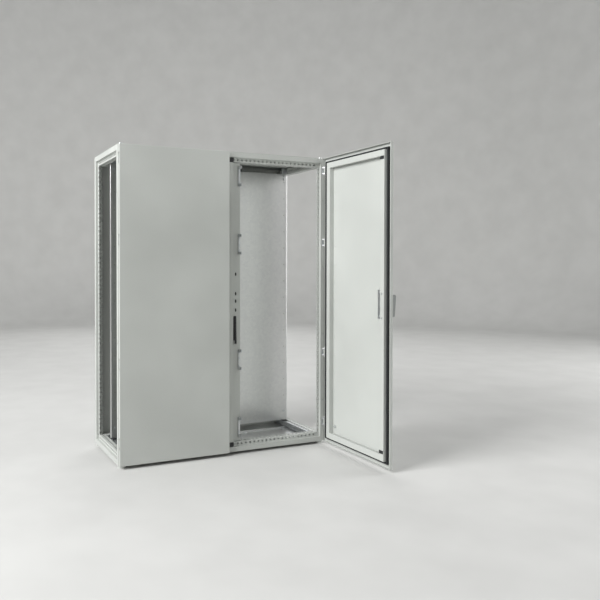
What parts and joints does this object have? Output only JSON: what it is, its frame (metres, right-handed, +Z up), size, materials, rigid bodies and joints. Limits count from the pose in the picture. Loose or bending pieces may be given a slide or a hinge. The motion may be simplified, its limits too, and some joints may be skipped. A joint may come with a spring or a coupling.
{
  "type": "switchboard cabinet",
  "caption": "Floor-standing steel switchboard cabinet with a perforated frame, open sides, galvanised mounting plate and a pair of hinged doors, one standing open.",
  "frame": {"origin": "on the floor, under the middle of the cabinet's box with its right door open as it stands at rest", "axes": "+Z up, the front of the cabinet looks along -Y, +X to the right seen from the front"},
  "size_m": [1.243, 1.103, 1.6223],
  "materials": {
    "powder_coat": "fine textured light grey powder coat",
    "galvanised_sheet": "galvanised sheet, dull spangle",
    "zinc_plated": "bright zinc plate",
    "black_plastic": "moulded, fine grain",
    "foam_gasket": "soft foam",
    "die_cast_handle": "die-cast zinc, dark grey paint"
  },
  "bodies": {
    "cabinet": {"post_front_left": "powder_coat", "post_front_right": "powder_coat", "post_rear_left": "powder_coat", "post_rear_right": "powder_coat", "base_rail_front": "powder_coat", "base_rail_rear": "powder_coat", "base_rail_left": "powder_coat", "base_rail_right": "powder_coat", "roof_rail_front": "powder_coat", "roof_rail_rear": "powder_coat", "roof_rail_left": "powder_coat", "roof_rail_right": "powder_coat", "base_corner_front_left": "powder_coat", "base_corner_front_right": "powder_coat", "base_corner_rear_left": "powder_coat", "base_corner_rear_right": "powder_coat", "roof_corner_front_left": "powder_coat", "roof_corner_front_right": "powder_coat", "roof_corner_rear_left": "powder_coat", "roof_corner_rear_right": "powder_coat", "roof_plate": "powder_coat", "rear_panel": "powder_coat", "mounting_plate": "galvanised_sheet", "roof_bolt_front_left": "zinc_plated", "roof_bolt_front_right": "zinc_plated", "roof_bolt_rear_left": "zinc_plated", "roof_bolt_rear_right": "zinc_plated", "depth_rail_left": "zinc_plated", "depth_rail_right": "zinc_plated", "plate_foot_left": "black_plastic", "plate_foot_right": "black_plastic", "plate_clip_left": "zinc_plated", "plate_clip_right": "zinc_plated", "gland_plate_front": "galvanised_sheet", "gland_plate_rear": "galvanised_sheet", "hinge_bracket_left_1": "zinc_plated", "hinge_bracket_left_2": "zinc_plated", "hinge_bracket_left_3": "zinc_plated", "hinge_bracket_left_4": "zinc_plated", "hinge_bracket_right_1": "zinc_plated", "hinge_bracket_right_2": "zinc_plated", "hinge_bracket_right_3": "zinc_plated", "hinge_bracket_right_4": "zinc_plated"},
    "left_door": {"left_door_shell": "powder_coat", "left_door_frame": "powder_coat", "left_door_gasket": "foam_gasket", "left_door_strip": "powder_coat"},
    "left_lever": {"left_door_lever": "black_plastic"},
    "left_rod_upper": {"left_door_rod_upper": "zinc_plated"},
    "left_rod_lower": {"left_door_rod_lower": "zinc_plated"},
    "right_door": {"right_door_shell": "powder_coat", "right_door_frame": "powder_coat", "right_door_gasket": "foam_gasket", "handle_base": "die_cast_handle", "lock_case": "zinc_plated"},
    "handle_turning": {"handle_boss": "die_cast_handle"},
    "handle_folding": {"handle_grip": "die_cast_handle"},
    "push_button": {"handle_button": "zinc_plated"},
    "lock_rod_up": {"lock_rod_upper": "zinc_plated"},
    "lock_rod_down": {"lock_rod_lower": "zinc_plated"}
  },
  "joints": [
    {"name": "left_door_hinge", "type": "hinge", "parent": "cabinet", "child": "left_door", "pos_m": [-0.6145, 0.0405, 0.815], "axis": [0, 0, -1], "range_deg": [0, 130]},
    {"name": "right_door_hinge", "type": "hinge", "parent": "cabinet", "child": "right_door", "pos_m": [0.5715, 0.0405, 0.815], "axis": [0, 0, 1], "range_deg": [-90, 40]},
    {"name": "left_lever_hinge", "type": "hinge", "parent": "left_door", "child": "left_lever", "pos_m": [0.0265, 0.07, 0.598], "axis": [1, 0, 0], "range_deg": [0, 90]},
    {"name": "left_rod_upper_slide", "type": "slide", "parent": "left_door", "child": "left_rod_upper", "axis": [0, 0, -1], "range_m": [0, 0.016]},
    {"name": "left_rod_lower_slide", "type": "slide", "parent": "left_door", "child": "left_rod_lower", "axis": [0, 0, 1], "range_m": [0, 0.016]},
    {"name": "handle_turn", "type": "hinge", "parent": "right_door", "child": "handle_turning", "pos_m": [0.6015, -0.5115, 0.86], "axis": [1, 0, 0], "range_deg": [0, 90]},
    {"name": "handle_fold", "type": "hinge", "parent": "handle_turning", "child": "handle_folding", "pos_m": [0.6115, -0.5115, 0.86], "axis": [0, -1, 0], "range_deg": [0, 35]},
    {"name": "push_button_slide", "type": "slide", "parent": "right_door", "child": "push_button", "axis": [-1, 0, 0], "range_m": [0, 0.003]},
    {"name": "lock_rod_up_slide", "type": "slide", "parent": "right_door", "child": "lock_rod_up", "axis": [0, 0, -1], "range_m": [0, 0.018]},
    {"name": "lock_rod_down_slide", "type": "slide", "parent": "right_door", "child": "lock_rod_down", "axis": [0, 0, 1], "range_m": [0, 0.018]}
  ],
  "couplings": [
    {"joint": "left_rod_upper_slide", "follows": "left_lever_hinge", "m_per_rad": 0.010186},
    {"joint": "left_rod_lower_slide", "follows": "left_lever_hinge", "m_per_rad": 0.010186},
    {"joint": "lock_rod_up_slide", "follows": "handle_turn", "m_per_rad": 0.011459},
    {"joint": "lock_rod_down_slide", "follows": "handle_turn", "m_per_rad": 0.011459}
  ]
}
